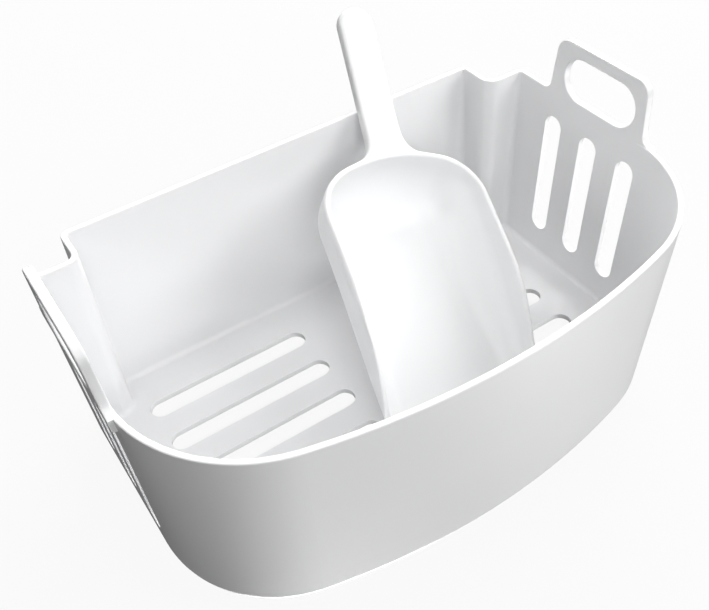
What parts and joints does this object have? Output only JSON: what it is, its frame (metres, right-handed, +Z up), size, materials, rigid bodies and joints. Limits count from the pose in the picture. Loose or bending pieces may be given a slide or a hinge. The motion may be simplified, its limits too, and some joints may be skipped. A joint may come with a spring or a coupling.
{
  "type": "ice basket with scoop",
  "caption": "White moulded ice basket with slotted floor and sides, notched rear corners and finger tabs, holding a loose ice scoop that lifts out.",
  "frame": {"origin": "on the underside of the basket's floor, midway along its length and near mid depth, in the plain strip between the floor slots", "axes": "+Z up; +X along the basket's length; +Y towards the straight back wall, -Y towards the bowed front wall"},
  "size_m": [0.2038, 0.1546, 0.1059],
  "materials": {
    "basket_plastic": "satin moulded polypropylene",
    "scoop_plastic": "smooth moulded polypropylene"
  },
  "bodies": {
    "basket": {"basket": "basket_plastic"},
    "scoop": {"scoop": "scoop_plastic"}
  },
  "joints": [
    {"name": "scoop_lift", "type": "slide", "parent": "basket", "child": "scoop", "axis": [0, 0, 1], "range_m": [0, 0.11]}
  ]
}
